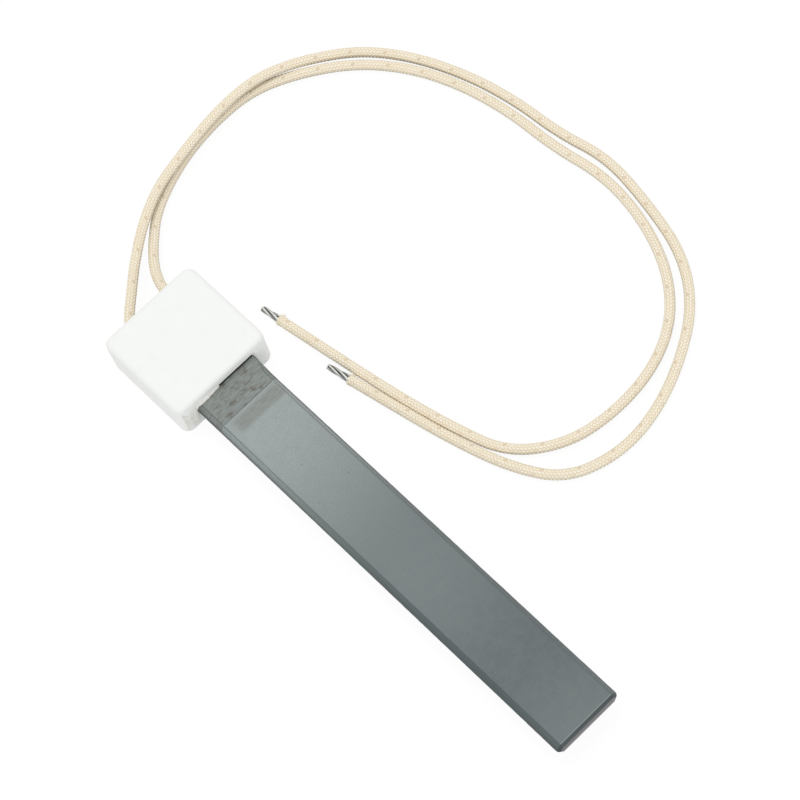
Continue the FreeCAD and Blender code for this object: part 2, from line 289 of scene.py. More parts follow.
class Socket:
    """A shader socket. Python's operators on it add Math nodes."""

    __add__ = __radd__ = operator_for("ADD")
    __mul__ = __rmul__ = operator_for("MULTIPLY")
    __sub__ = operator_for("SUBTRACT")
    __truediv__ = operator_for("DIVIDE")
    __mod__ = operator_for("FLOORED_MODULO")
    __lt__ = operator_for("LESS_THAN")
    __gt__ = operator_for("GREATER_THAN")

    def __init__(self, paint, socket):
        self.paint = paint
        self.socket = socket

    def __rsub__(self, other):
        return self.paint.maths("SUBTRACT", other, self)

    def __abs__(self):
        return self.paint.maths("ABSOLUTE", self)


class Paint:
    """The nodes of a material or of the sky, with its main shader and its base colour."""

    def __init__(self, owner, shader="Principled BSDF"):
        owner.use_nodes = True
        self.owner = owner
        self.tree = owner.node_tree
        self.shader = self.tree.nodes[shader]
        self.base = None

    def connect(self, node, sockets):
        """Give a node's sockets their values or links."""
        for name, value in sockets.items():
            if isinstance(value, Socket):
                self.tree.links.new(value.socket, node.inputs[name])
            else:
                node.inputs[name].default_value = value

    def add(self, kind, settings, sockets, output=0):
        """Add a node: its settings first, then its sockets."""
        node = self.tree.nodes.new("ShaderNode" + kind)
        for name, value in settings.items():
            setattr(node, name, value)
        self.connect(node, sockets)
        return Socket(self, node.outputs[output])

    def maths(self, operation, *values):
        """A Math node on one to three values."""
        return self.add("Math", {"operation": operation}, dict(enumerate(values)))

    def mix(self, factor, first, second):
        """A colour between two colours."""
        settings = {"data_type": "RGBA"}
        return self.add("Mix", settings, {0: factor, 6: rgba(first), 7: rgba(second)}, output=2)

    def place(self, stretch=(1, 1, 1)):
        """The place on the object in millimetres, stretched along its axes."""
        here = self.add("TexCoord", {}, {}, output=3)
        factor = tuple(part / MM for part in stretch)
        return self.add("VectorMath", {"operation": "MULTIPLY"}, {0: here, 1: factor})

    def axes(self):
        """The place on the object as three numbers in millimetres."""
        here = self.place()
        return [self.add("SeparateXYZ", {}, {0: here}, output=axis) for axis in range(3)]

    def noise(self, scale, detail, stretch=(1, 1, 1)):
        """Soft noise from 0 to 1, its scale counted per millimetre."""
        return self.add("TexNoise", {}, {"Vector": self.place(stretch), "Scale": scale, "Detail": detail})

    def spots(self, scale, low, high, top=1.0, stretch=(1, 1, 1)):
        """Scattered spots that fade from top to 0 between two distances from their middles."""
        far = self.add("TexVoronoi", {}, {"Vector": self.place(stretch), "Scale": scale})
        return self.ramp(far, low, high, top, 0.0)

    def ramp(self, value, low, high, bottom=0.0, top=1.0):
        """A value spread from low and high to bottom and top, with soft ends."""
        settings = {"interpolation_type": "SMOOTHSTEP"}
        return self.add("MapRange", settings, {0: value, 1: low, 2: high, 3: bottom, 4: top})

    def bump(self, height, distance, strength=1.0):
        """Relief from a height, in metres."""
        sockets = {"Height": height, "Distance": distance, "Strength": strength}
        self.connect(self.shader, {"Normal": self.add("Bump", {}, sockets)})

    def layer(self, factor, shade):
        """Lay a colour over the base colour."""
        self.base = self.mix(factor, self.base, shade)

    def finish(self, **values):
        """Set the shader's base colour and other sockets, and give back the material."""
        values = {name.replace("_", " "): value for name, value in values.items()}
        self.connect(self.shader, {"Base Color": rgba(self.base), **values})
        return self.owner


def rgba(shade):
    """A colour with its alpha, or a link as it is."""
    return shade if isinstance(shade, Socket) else (*shade, 1.0)


def new_paint(name):
    """A new material's paint."""
    return Paint(bpy.data.materials.new(name))


def apply(operation, value):
    """Floor, cosine or square root of numbers or of a shader socket."""
    if isinstance(value, Socket):
        return value.paint.maths(operation, value)
    return {"FLOOR": np.floor, "COSINE": np.cos, "SQRT": np.sqrt}[operation](value)


def braid(around, along, carriers):
    """The two-over-two braid at places on a sleeve, for numbers and shader sockets alike.

    around counts turns of the sleeve and along counts turns of a yarn. Gives the height of the yarn on
    top, 1 where that yarn leans to the right, the yarn's number and how often it has come up.
    """
    right = carriers * (around + along)
    left = carriers * (around - along)
    right_yarn = apply("FLOOR", right)
    left_yarn = apply("FLOOR", left)
    on_right = (right_yarn + left_yarn) % 4 < 2
    on_left = 1 - on_right
    across = on_right * (right - right_yarn) + on_left * (left - left_yarn) - 0.5
    right_run = right_yarn + left
    left_run = right + left_yarn - 2
    run = on_right * right_run + on_left * left_run
    crown = apply("COSINE", (run % 4 - 1) * (math.pi / 2))
    roundness = apply("SQRT", 1 - 3.7 * across * across)
    number = on_right * (right_yarn % carriers) + on_left * (left_yarn % carriers)
    rise = apply("FLOOR", run / 4)
    return (0.25 + 0.75 * crown) * roundness, on_right, number, rise


def alumina(settings):
    """White pressed ceramic with faint duller patches and a fine grain."""
    paint = new_paint("alumina")
    cloud = paint.noise(0.35, 4.0)
    grain = paint.noise(9.0, 2.0)
    paint.base = paint.mix(paint.ramp(cloud, 0.5, 0.8, 0.0, 0.6), settings.ceramic, settings.shade)
    paint.bump(0.5 * grain + 0.15 * cloud, 0.00002, 0.4)
    return paint.finish(Roughness=0.42 + 0.2 * cloud, Specular_IOR_Level=0.35)


def dry_cement(settings):
    """Off-white cement with damp patches, grit and pinholes."""
    paint = new_paint("dry cement")
    patch = paint.noise(0.9, 5.0)
    grit = paint.noise(6.0, 4.0)
    hole = paint.spots(2.2, 0.04, 0.12)
    dark = paint.maths("MAXIMUM", paint.ramp(patch, 0.5, 0.72, 0.0, 0.55), hole * 0.6)
    paint.base = paint.mix(dark, settings.pale, settings.dark)
    paint.bump(grit + 0.6 * patch - hole, 0.00012, 0.8)
    return paint.finish(Roughness=0.8 + 0.15 * grit, Specular_IOR_Level=0.2)


def nitride_face(paint, settings, along, mottle, fine):
    """A painted reflection that makes the blade paler beside the block and fades along it, with soft
    mottle and fine grain.
    """
    start = FRONT_FACE / MM
    reach = BLADE_HIGH.x / MM - start
    fade = 0.0
    for begin, end, amount in SHEEN_FADE_STEPS:
        fade = fade + paint.ramp(along, start + begin * reach, start + end * reach, 0.0, amount)
    # Painted reflection: paler beside the block, darker in the middle
    paint.base = paint.mix(fade, settings.sheen_root_colour, settings.middle_colour)
    paint.layer(paint.ramp(mottle, 0.35, 0.65, 0.0, 0.14), settings.mottle)
    paint.layer(paint.ramp(fine, 0.35, 0.65, 0.0, 0.36), settings.grain)


def root_marks(paint, settings, along, across, upper, etched, streak):
    """The etched root with its smudges, the engraved line and the soft band beyond it."""
    line = settings.line_place / MM
    width = settings.line_width / MM
    paint.layer(etched * (0.25 + 0.7 * paint.ramp(streak, 0.35, 0.7)), settings.etch)
    smudge = paint.ramp(paint.noise(0.75, 6.0, (1.0, 0.7, 1.0)), 0.5, 0.66)
    paint.layer(etched * smudge * paint.ramp(abs(across), 4.0, 7.5, 0.75, 0.0), settings.stain)
    worn = paint.ramp(paint.noise(0.9, 4.0, (5.0, 0.6, 1.0)), 0.3, 0.65, 0.45, 0.85)
    band = paint.ramp(abs(along - line - 2.5), 1.0, 2.4, 1.0, 0.0)
    band = band * paint.ramp(abs(across - 0.9), 5.4, 7.4, 1.0, 0.0) * upper
    paint.layer(band * worn, settings.band)
    groove = paint.ramp(abs(along - line), width / 4, width / 2, 0.75, 0.0)
    paint.layer(groove * paint.ramp(abs(across), 6.8, 7.2, 1.0, 0.0) * upper, settings.score)


def bevel_shade_and_scores(paint, settings, along, across, drop):
    """The bevels: painted shade that darkens them lower down, towards the tip and at their outer rim,
    over ground streaks and fine scores along them.
    """
    start = FRONT_FACE / MM
    reach = BLADE_HIGH.x / MM - start
    outer = abs(across) > (BLADE_HALF - settings.bevel_width) / MM - 0.02
    ground = paint.noise(1.0, 3.0, (0.05, 0.3, 1.6))
    grown = paint.ramp(along, start + 0.1 * reach, start + 0.6 * reach, 0.15, 1.0)
    # Painted shade: darker lower down the bevel, towards the tip and at its outer rim
    shade = paint.ramp(drop, 0.3, 1.9, 0.5, 0.86) * grown * paint.ramp(across, 6.0, 8.0, 1.0, 0.65)
    rim = paint.ramp(drop, 1.0, 1.6, 0.0, 0.75)
    score = paint.ramp(abs(drop - 0.15), 0.03, 0.16, 0.45, 0.0)
    dark = paint.maths("MAXIMUM", paint.maths("MAXIMUM", shade, rim), score) + (ground - 0.5) * 0.35
    paint.layer(dark * outer * (drop > 0.06), settings.bevel)


def ground_tip(paint, settings, from_tip, drop):
    """The tip: a painted highlight along its edge, painted shade on the broken edge and a colour on the
    end.
    """
    broken = settings.tip_break / MM
    # Painted highlight: a bright line where the top meets the tip's broken edge
    glint = paint.ramp(abs(from_tip - broken), 0.03, 0.16, 0.32, 0.0) * (drop < 0.06)
    paint.layer(glint, settings.glint)
    # Painted shade on the tip's broken edge, which faces away from the lamps
    paint.layer((from_tip < broken) * (drop > 0.08) * 0.84, settings.tip_edge_shade)
    end = paint.ramp(from_tip, 0.0, 0.05, 0.85, 0.0) * paint.ramp(drop, 2.9, 3.3, 1.0, 0.0)
    paint.layer(end, settings.tip_face)


def ground_nitride(settings):
    """Ground grey nitride: paler beside the block by a painted reflection, mottled, pitted, with an
    etched root, painted shade on its bevels and broken tip edge, a painted highlight at the tip and a
    painted shadow where it enters the block.
    """
    paint = new_paint("ground nitride")
    along, across, height = paint.axes()
    drop = BLADE_TOP / MM - height
    upper = drop < 2.0
    start = FRONT_FACE / MM
    line = settings.line_place / MM
    mottle = paint.noise(0.55, 6.0)
    fine = paint.noise(4.5, 4.0)
    streak = paint.noise(0.9, 3.0, (6.0, 0.5, 1.0))
    etched = paint.ramp(along, line - 0.15, line, 1.0, 0.0) * paint.ramp(along, start - 1, start) * upper
    pits = paint.spots(0.36, 0.025, 0.06) * paint.ramp(mottle, 0.43, 0.5)
    nitride_face(paint, settings, along, mottle, fine)
    root_marks(paint, settings, along, across, upper, etched, streak)
    paint.layer(pits * 0.7, settings.pit)
    paint.layer(paint.spots(0.8, 0.05, 0.11, 0.3, (1.0, 1.3, 1.0)), settings.fleck)
    paint.layer(paint.add("Attribute", {"attribute_name": "edge"}, {}, output=2) * 0.45, settings.score)
    bevel_shade_and_scores(paint, settings, along, across, drop)
    ground_tip(paint, settings, BLADE_HIGH.x / MM - along, drop)
    # Painted shadow on the blade's top where it enters the block's slot
    gap = paint.ramp(along, start - 0.05, start + 0.2, 0.95, 0.0) * paint.ramp(across, -2.3, -1.9) * upper
    paint.layer(gap, settings.gap)
    paint.bump(0.5 * fine + 0.35 * mottle + 0.5 * etched * streak - pits, 0.00005, 0.7)
    return paint.finish(Roughness=0.40 + 0.12 * fine + 0.18 * etched, Specular_IOR_Level=0.5)


def glass_braid(settings):
    """Ivory glass yarn with painted shade in the gaps between yarns and on the underside, and one brown
    marker yarn.
    """
    paint = new_paint("glass braid")
    spread = paint.add("UVMap", {"uv_map": "weave"}, {})
    around, along = (paint.add("SeparateXYZ", {}, {0: spread}, output=axis) for axis in (0, 1))
    height, on_right, number, rise = braid(around, along, settings.carriers)
    stitch = paint.add("CombineXYZ", {}, {0: number, 1: rise, 2: on_right})
    tone = paint.add("TexWhiteNoise", {}, {"Vector": stitch})
    cloud = paint.noise(0.25, 3.0)
    fuzz = paint.noise(7.0, 3.0)
    # Painted shade: darker where the yarns sink into their gaps
    paint.base = paint.mix(paint.ramp(height, 0.1, 0.75), settings.gap, settings.yarn)
    paint.layer(paint.ramp(tone, 0.0, 1.0, 0.0, 0.2), settings.warm)
    paint.layer(paint.ramp(cloud, 0.45, 0.7, 0.0, 0.25), settings.worn)
    # Painted shade on the sleeve's downward-facing side
    facing = paint.add("SeparateXYZ", {}, {0: paint.add("TexCoord", {}, {}, output=1)}, output=2)
    paint.layer(paint.ramp(facing, -0.5, 0.6, 0.8, 0.0), settings.under)
    marker = on_right * (number < 0.5) * paint.ramp(height, 0.3, 0.7)
    paint.layer(marker * (0.1 + 0.4 * tone), settings.tracer)
    paint.bump(height + 0.35 * fuzz, 0.00005, 0.5)
    return paint.finish(Roughness=0.55 + 0.25 * fuzz, Specular_IOR_Level=0.35, Sheen_Weight=0.15)


def plain_fibre(settings):
    """Loose glass fibre."""
    paint = new_paint("loose fibre")
    paint.base = paint.mix(paint.noise(2.0, 2.0), settings.yarn, settings.fibre)
    return paint.finish(Roughness=0.6)


def tinned_copper(settings):
    """Bright tin on twisted strands, with painted shade in the hollows between them and smeared duller
    patches.
    """
    paint = new_paint("tinned copper")
    hollow = paint.add("Attribute", {"attribute_name": "hollow"}, {}, output=2)
    smear = paint.noise(1.3, 4.0)
    fine = paint.noise(6.0, 3.0)
    # Painted shade in the hollows, or a smeared duller patch, whichever is more
    dull = paint.maths("MAXIMUM", hollow, paint.ramp(smear, 0.55, 0.75, 0.0, 0.4))
    paint.base = paint.mix(dull, settings.tin, settings.dull)
    paint.bump(smear + 0.3 * fine, 0.00002, 0.5)
    return paint.finish(Roughness=0.34 + 0.2 * dull + 0.06 * fine, Metallic=1.0)


def plated_metal():
    """Plain plated metal for the pieces sealed in the cement and the blade."""
    paint = new_paint("plated metal")
    dark = (0.42, 0.42, 0.41)
    bright = (0.62, 0.61, 0.58)
    brushed = paint.noise(1.5, 3.0, (0.4, 4.0, 4.0))
    paint.base = paint.mix(brushed, dark, bright)
    return paint.finish(Roughness=0.3 + 0.2 * brushed, Metallic=0.9)


def new_object(name, data):
    """An object in the scene."""
    made = bpy.data.objects.new(name, data)
    bpy.context.scene.collection.objects.link(made)
    return made


def mark_points(piece, name, values):
    """Give a piece's points a number each, which its material reads."""
    layer = piece.data.attributes.new(name, "FLOAT", "POINT")
    layer.data.foreach_set("value", values)


def new_piece(name, vertices, faces, material):
    """A mesh piece in the frame's axes that goes with the part."""
    mesh = bpy.data.meshes.new(name)
    mesh.from_pydata([tuple(v) for v in np.asarray(vertices, float).tolist()], [], faces)
    mesh.validate()
    return settle(new_object(name, mesh), material)


def settle(piece, material, angle=35):
    """Smooth a piece, give it its material and fasten it to the part."""
    piece.data.materials.clear()
    piece.data.materials.append(material)
    piece.data.shade_smooth()
    piece.data.set_sharp_from_angle(angle=math.radians(angle))
    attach(piece, "root")
    return piece


def ring_faces(rings, points, offset=0):
    """Faces between rings of equally many points, with a cap at each end."""
    faces = []
    for ring in range(rings - 1):
        low = offset + ring * points
        high = low + points
        for point in range(points):
            following = (point + 1) % points
            faces.append((low + point, low + following, high + following, high + point))
    faces.append(tuple(range(offset + points - 1, offset - 1, -1)))
    last = offset + (rings - 1) * points
    faces.append(tuple(range(last, last + points)))
    return faces


def arc(steps):
    """Angles of a quarter turn."""
    return [math.pi / 2 * step / steps for step in range(steps + 1)]


def rounded_outline(half_x, half_y, radius, steps=8, side_points=6):
    """A rounded rectangle's outline, always with the same number of points."""
    points = []
    centres = ((1, 1, 0), (-1, 1, 1), (-1, -1, 2), (1, -1, 3))
    for side_x, side_y, quarter in centres:
        for angle in arc(steps):
            turn = angle + quarter * math.pi / 2
            x = side_x * (half_x - radius) + radius * math.cos(turn)
            y = side_y * (half_y - radius) + radius * math.sin(turn)
            points.append(Vector((x, y)))
    spaced = []
    for index, point in enumerate(points):
        spaced.append(point)
        if index % (steps + 1) == steps:
            following = points[(index + 1) % len(points)]
            spaced += [point.lerp(following, part / side_points) for part in range(1, side_points)]
    return spaced


def wander(point, scale, seed):
    """Slow noise at a place, from about -1 to 1."""
    return noise.noise(Vector(point) * scale + Vector((seed, seed, seed)))


def cut_away(piece, name, low, high, radius):
    """Cut a rounded box that runs along X out of a piece."""
    half_y = (high.y - low.y) / 2
    half_z = (high.z - low.z) / 2
    outline = rounded_outline(half_y, half_z, radius, steps=4, side_points=1)
    vertices = []
    for x in (low.x, high.x):
        vertices += [(x, low.y + half_y + p.x, low.z + half_z + p.y) for p in outline]
    mesh = bpy.data.meshes.new(name)
    mesh.from_pydata(vertices, [], ring_faces(2, len(outline)))
    cutter = new_object(name, mesh)
    boolean = piece.modifiers.new(name, "BOOLEAN")
    boolean.operation = "DIFFERENCE"
    boolean.solver = "EXACT"
    boolean.object = cutter
    apply_modifiers(piece)
    bpy.data.objects.remove(cutter)


def apply_modifiers(piece):
    """Make a piece's modifiers part of its mesh."""
    graph = bpy.context.evaluated_depsgraph_get()
    graph.update()
    mesh = bpy.data.meshes.new_from_object(piece.evaluated_get(graph))
    piece.modifiers.clear()
    piece.data = mesh


def make_holder(settings):
    """The pressed block: rounded corners, softened edges, its hollow and its slot."""
    half_x = (HOLDER_HIGH.x - HOLDER_LOW.x) / 2
    half_y = (HOLDER_HIGH.y - HOLDER_LOW.y) / 2
    top = HOLDER_HIGH.z
    levels = [(inset * MM, 0.0) for inset in BASE_RINGS]
    for angle in arc(6):
        inset = settings.base_radius * (1 - math.sin(angle))
        levels.append((inset, settings.base_radius * (1 - math.cos(angle))))
    side = top - settings.base_radius - settings.top_radius
    levels += [(0.0, settings.base_radius + side * part / 6) for part in range(1, 6)]
    for angle in arc(8):
        inset = settings.top_radius * (1 - math.cos(angle))
        levels.append((inset, top - settings.top_radius * (1 - math.sin(angle))))
    levels += [(inset * MM, top) for inset in TOP_RINGS]
    vertices = []
    for inset, height in levels:
        radius = max(settings.corner_radius - inset, LEAST_CORNER)
        for point in rounded_outline(half_x - inset, half_y - inset, radius):
            place = Vector((point.x, point.y, height))
            shrink = 1 - settings.unevenness / half_x * (0.6 + 0.4 * wander(place, 260, 3))
            lower = settings.unevenness * 0.5 * (1 + wander(place, 180, 8)) if height > top / 2 else 0
            vertices.append((place.x * shrink, place.y * shrink, place.z - lower))
    faces = ring_faces(len(levels), len(vertices) // len(levels))
    block = new_piece("ceramic_block", vertices, faces, alumina(settings))
    side, flat, front = settings.side_wall, settings.flat_wall, settings.front_wall
    low = Vector((BACK_FACE - side, HOLDER_LOW.y + side, flat))
    high = Vector((FRONT_FACE - front, HOLDER_HIGH.y - side, top - flat))
    cut_away(block, "hollow", low, high, settings.hollow_radius)
    half = BLADE_HALF + settings.slot_side
    low = Vector((FRONT_FACE - front - CUT_BEYOND, -half, BLADE_LOW.z - settings.slot_base))
    high = Vector((FRONT_FACE + front, half, BLADE_TOP + settings.slot_top))
    cut_away(block, "slot", low, high, settings.slot_radius)
    settle(block, block.data.materials[0], 40)
    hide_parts("holder_shell")


def soften(outline, radius):
    """The same outline with each corner rounded by a radius."""
    points = []
    for index, corner in enumerate(outline):
        before = (outline[index - 1] - corner).normalized()
        after = (outline[(index + 1) % len(outline)] - corner).normalized()
        start = corner + before * radius
        end = corner + after * radius
        for point in range(CORNER_POINTS):
            part = point / (CORNER_POINTS - 1)
            points.append(start.lerp(corner, part).lerp(corner.lerp(end, part), part))
    return points


def blade_section(settings, inset_side, inset_height, dip, ground):
    """The blade's eight-cornered section at one station, its right bevel ground by a share."""
    half = BLADE_HALF - inset_side
    flat = min(BLADE_HALF - settings.bevel_width, half - LEAST_FLAT)
    top = BLADE_TOP - inset_height
    base = BLADE_LOW.z + inset_height
    upper = min(BLADE_TOP - settings.bevel_drop, top - LEAST_FLAT)
    lower = max(BLADE_LOW.z + settings.bevel_drop, base + LEAST_FLAT)
    outline = [
        Vector((-flat, top - dip)),
        Vector((half + (flat - half) * ground, top - dip)),
        Vector((half, top + (upper - top) * ground)),
        Vector((half, lower)),
        Vector((flat, base)),
        Vector((-flat, base)),
        Vector((-half, lower)),
        Vector((-half, upper)),
    ]
    return soften(outline, settings.edge_radius)


def make_blade(settings):
    """The blade as one loft: bevelled sides, cut tip corners and an engraved line."""
    line = settings.line_place
    half_line = settings.line_width / 2
    tip = BLADE_HIGH.x
    stations = {BLADE_LOW.x: 0.0, line - half_line: 0.0, line: settings.line_depth, line + half_line: 0.0}
    for step in range(1, BLADE_STATIONS):
        place = BLADE_LOW.x + (tip - TIP_ZONE - BLADE_LOW.x) * step / BLADE_STATIONS
        if abs(place - line) > 2 * half_line:
            stations[place] = 0.0
    for angle in arc(TIP_STATIONS):
        stations[tip - settings.tip_radius * (1 - math.sin(angle))] = 0.0
    vertices = []
    edges = []
    places = sorted(stations)
    for place in places:
        from_tip = tip - place
        into_corner = max(0.0, settings.tip_radius - from_tip)
        side = settings.tip_radius - math.sqrt(settings.tip_radius ** 2 - into_corner ** 2)
        height = max(0.0, settings.tip_break - from_tip)
        ground = min(1.0, max(LEAST_GROUND, (place - FRONT_FACE) / settings.run_out))
        for index, point in enumerate(blade_section(settings, side, height, stations[place], ground)):
            corner, within = divmod(index, CORNER_POINTS)
            here = (place, point.x, point.y)
            nick = settings.nick * (0.6 * wander(here, 900, corner) + 0.4 * wander(here, 2600, corner))
            vertices.append((place, point.x * (1 + nick / BLADE_HALF), point.y))
            edges.append(1.0 if within in (1, 2) and corner in (0, 1) else 0.0)
    faces = ring_faces(len(places), len(vertices) // len(places))
    blade = new_piece("nitride_blade", vertices, faces, ground_nitride(settings))
    mark_points(blade, "edge", edges)
    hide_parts("heater_blade")


def make_cement(settings):
    """The cement: the frame's filling, the lip over the blade, a smear and the collars at the leads."""
    material = dry_cement(settings)
    filling = new_object("cement_filling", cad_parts["potting_cement"].data.copy())
    for vertex in filling.data.vertices:
        vertex.co.x = min(vertex.co.x, FRONT_FACE - settings.set_back)
    settle(filling, material, 30)
    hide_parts("potting_cement")
    make_lip(settings, material)
    make_smear(settings, material)
    for side, route in LEAD_ROUTES.items():
        make_collar(side, Vector(route[1]), Vector(route[2]), settings, material)


def make_lip(settings, material):
    """The uneven lip of cement over the left part of the blade."""
    left = -BLADE_HALF - 0.1 * MM
    behind = FRONT_FACE - 0.6 * MM
    bed = BLADE_TOP - 0.03 * MM
    sunk = 0.04 * MM
    steps = 70
    profile_steps = 8
    vertices = []
    for step in range(steps + 1):
        part = step / steps
        y = left - (settings.lip_end + left) * part
        swell = math.sin(math.pi * min(1.0, (part + 0.08) / 1.08)) ** 0.6
        swell *= 1.0 - 0.55 * part
        ripple = settings.lip_ripple * (wander((y, 0, 0), 1100, 5) + 0.5 * wander((y, 0, 0), 3000, 2))
        reach = max(0.02 * MM, (settings.lip_reach + ripple) * swell)
        climb = settings.lip_height * (0.35 + 0.65 * swell)
        for angle in arc(profile_steps):
            x = FRONT_FACE - sunk + (reach + sunk) * math.sin(angle)
            vertices.append((x, y, BLADE_TOP + 0.02 * MM + climb * math.cos(angle) ** 1.3))
        vertices += [(FRONT_FACE + reach * 0.8, y, bed), (behind, y, bed), (behind, y, BLADE_TOP + climb)]
    faces = ring_faces(steps + 1, profile_steps + 4)
    new_piece("cement_lip", vertices, faces, material)


def make_smear(settings, material):
    """Dried cement left on the block's front face, left of the blade."""
    low_y = -settings.smear_reach
    high_y = -BLADE_HALF - 0.2 * MM
    low_z = 1.4 * MM
    high_z = BLADE_TOP + 0.9 * MM
    behind = FRONT_FACE - 0.5 * MM
    sunk = -0.2 * MM
    cells = 44
    width = cells + 1
    vertices = []
    for row in range(width):
        for column in range(width):
            near = column / cells
            y = low_y + (high_y - low_y) * near
            z = low_z + (high_z - low_z) * row / cells
            level = abs(2 * row / cells - 1)
            patchy = 0.5 * wander((0, y, z), 700, 4) + 0.25 * wander((0, y, z), 1900, 9)
            cover = near * 1.25 - 0.5 * level ** 3 - 0.45 + patchy * min(1.0, 3 * near)
            thickness = max(sunk, min(settings.smear_thickness, 0.3 * MM * cover))
            at_rim = min(row, cells - row, column) == 0
            vertices.append((FRONT_FACE + (sunk if at_rim else thickness), y, z))
    back = len(vertices)
    vertices += [(behind, y, z) for _, y, z in vertices]
    faces = []
    for row in range(cells):
        for column in range(cells):
            corner = row * width + column
            quad = (corner, corner + 1, corner + width + 1, corner + width)
            faces.append(quad)
            faces.append(tuple(back + index for index in reversed(quad)))
    rim = list(range(cells))
    rim += [row * width + cells for row in range(cells)]
    rim += [cells * width + column for column in range(cells, 0, -1)]
    rim += [row * width for row in range(cells, 0, -1)]
    for index, start in enumerate(rim):
        end = rim[(index + 1) % len(rim)]
        faces.append((start, back + start, back + end, end))
    new_piece("cement_smear", vertices, faces, material)


def make_collar(side, inner, outer, settings, material):
    """The ring of cement that creeps up a lead where it leaves the block."""
    heading = (outer - inner).normalized()
    sunk = 0.06 * MM
    deep = 0.5 * MM
    points = 40
    rings = 9
    vertices = []
    for ring in range(rings):
        part = ring / (rings - 1)
        for point in range(points):
            angle = 2 * math.pi * point / points
            spread = 1 + 0.16 * wander((math.cos(angle), math.sin(angle), 0), 1.6, 2 + ring * 0.1)
            radius = settings.collar_bore + settings.collar_width * part ** 1.5 * spread
            rise = settings.collar_height * (1 - part) ** 2 * spread - sunk
            y = inner.y + radius * math.cos(angle) + heading.y * rise
            vertices.append((CEMENT_LOW.x - rise, y, inner.z + radius * math.sin(angle)))
    vertices += [(CEMENT_LOW.x + deep, y, z) for _, y, z in vertices[-points:]]
    faces = ring_faces(rings + 1, points)
    new_piece("cement_collar_" + side, vertices, faces, material)


def spline_points(name, route):
    """The points of the smooth line that a lead follows, read from its spline."""
    curve = bpy.data.curves.new(name, "CURVE")
    curve.dimensions = "3D"
    curve.resolution_u = 24
    spline = curve.splines.new("NURBS")
    spline.points.add(len(route) - 1)
    for point, place in zip(spline.points, route):
        point.co = (*place, 1.0)
    spline.order_u = 3
    spline.use_endpoint_u = True
    line = new_object(name, curve)
    bpy.context.view_layer.update()
    graph = bpy.context.evaluated_depsgraph_get()
    mesh = bpy.data.meshes.new_from_object(line.evaluated_get(graph))
    points = np.array([vertex.co for vertex in mesh.vertices], float)
    bpy.data.objects.remove(line)
    bpy.data.meshes.remove(mesh)
    return points


def evenly_spaced(points, spacing):
    """The same line with evenly spaced points, and each point's length along it."""
    steps = np.linalg.norm(np.diff(points, axis=0), axis=1)
    lengths = np.concatenate([[0.0], np.cumsum(steps)])
    places = np.linspace(0.0, lengths[-1], int(lengths[-1] / spacing) + 1)
    return np.stack([np.interp(places, lengths, points[:, axis]) for axis in range(3)], axis=1), places


def steady_frames(centres):
    """Two directions across the line at each point, which turn no more than the line does."""
    tangents = np.gradient(centres, axis=0)
    tangents /= np.linalg.norm(tangents, axis=1)[:, None]
    first = np.zeros_like(centres)
    normal = np.array([0.0, 0.0, 1.0])
    for index, tangent in enumerate(tangents):
        normal = normal - tangent * normal.dot(tangent)
        normal /= np.linalg.norm(normal)
        first[index] = normal
    return tangents, first, np.cross(tangents, first)


def make_sleeve(side, settings, material):
    """One braided sleeve along its route, with a slightly open cut end."""
    line = spline_points("route_" + side, LEAD_ROUTES[side])
    centres, places = evenly_spaced(line, settings.ring_spacing)
    tangents, first, second = steady_frames(centres)
    around = np.arange(settings.around) / settings.around
    height = braid(around[None, :], places[:, None] / settings.pitch, settings.carriers)[0]
    to_end = (places[-1] - places)[:, None]
    flare = settings.flare * np.clip(1 - to_end / settings.flare_length, 0, 1) ** 2
    radius = settings.diameter / 2 + settings.crest - settings.relief * (1 - height) + flare
    angle = 2 * np.pi * around
    rounds = np.cos(angle)[:, None] * first[:, None, :] + np.sin(angle)[:, None] * second[:, None, :]
    points = centres[:, None, :] + radius[:, :, None] * rounds
    ragged = settings.ragged * np.cos(settings.carriers * angle) * np.cos(3 * angle + 0.7)
    weight = np.clip(1 - to_end / settings.ragged_length, 0, 1)
    points += tangents[:, None, :] * (ragged[None, :, None] * weight[:, :, None])
    mouth = centres[-1] + rounds[-1] * settings.bore - tangents[-1] * settings.mouth
    plug = centres[0] + rounds[0] * settings.bore
    points = np.concatenate([plug[None], points, mouth[None]])
    points[:, :, 2] = np.maximum(points[:, :, 2], FLOOR_GAP)
    faces = ring_faces(len(points), settings.around)
    sleeve = new_piece("braided_sleeve_" + side, points.reshape(-1, 3), faces, material)
    lengths = np.concatenate([places[:1], places, places[-1:]]) / settings.pitch
    spread_out(sleeve, lengths, settings.around)
    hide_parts("lead_" + side)
    return sleeve, centres


def spread_out(sleeve, lengths, around):
    """Give a sleeve flat coordinates: turns round it and turns of the yarn along it."""
    layer = sleeve.data.uv_layers.new(name="weave")
    points = np.empty(len(sleeve.data.loops), int)
    sleeve.data.loops.foreach_get("vertex_index", points)
    column = points % around
    row = np.minimum(points // around, len(lengths) - 1)
    turns = column / around
    sides = (len(lengths) - 1) * around * 4
    quads = turns[:sides].reshape(-1, 4)
    wraps = (quads.max(axis=1) - quads.min(axis=1)) > 0.5
    quads[wraps] = np.where(quads[wraps] < 0.5, quads[wraps] + 1, quads[wraps])
    turns[:sides] = quads.reshape(-1)
    layer.data.foreach_set("uv", np.stack([turns, lengths[row]], axis=1).ravel())


def circle(centre, across, third, radius, points):
    """Points evenly round a centre."""
    angles = [2 * math.pi * point / points for point in range(points)]
    return [centre + (across * math.cos(angle) + third * math.sin(angle)) * radius for angle in angles]


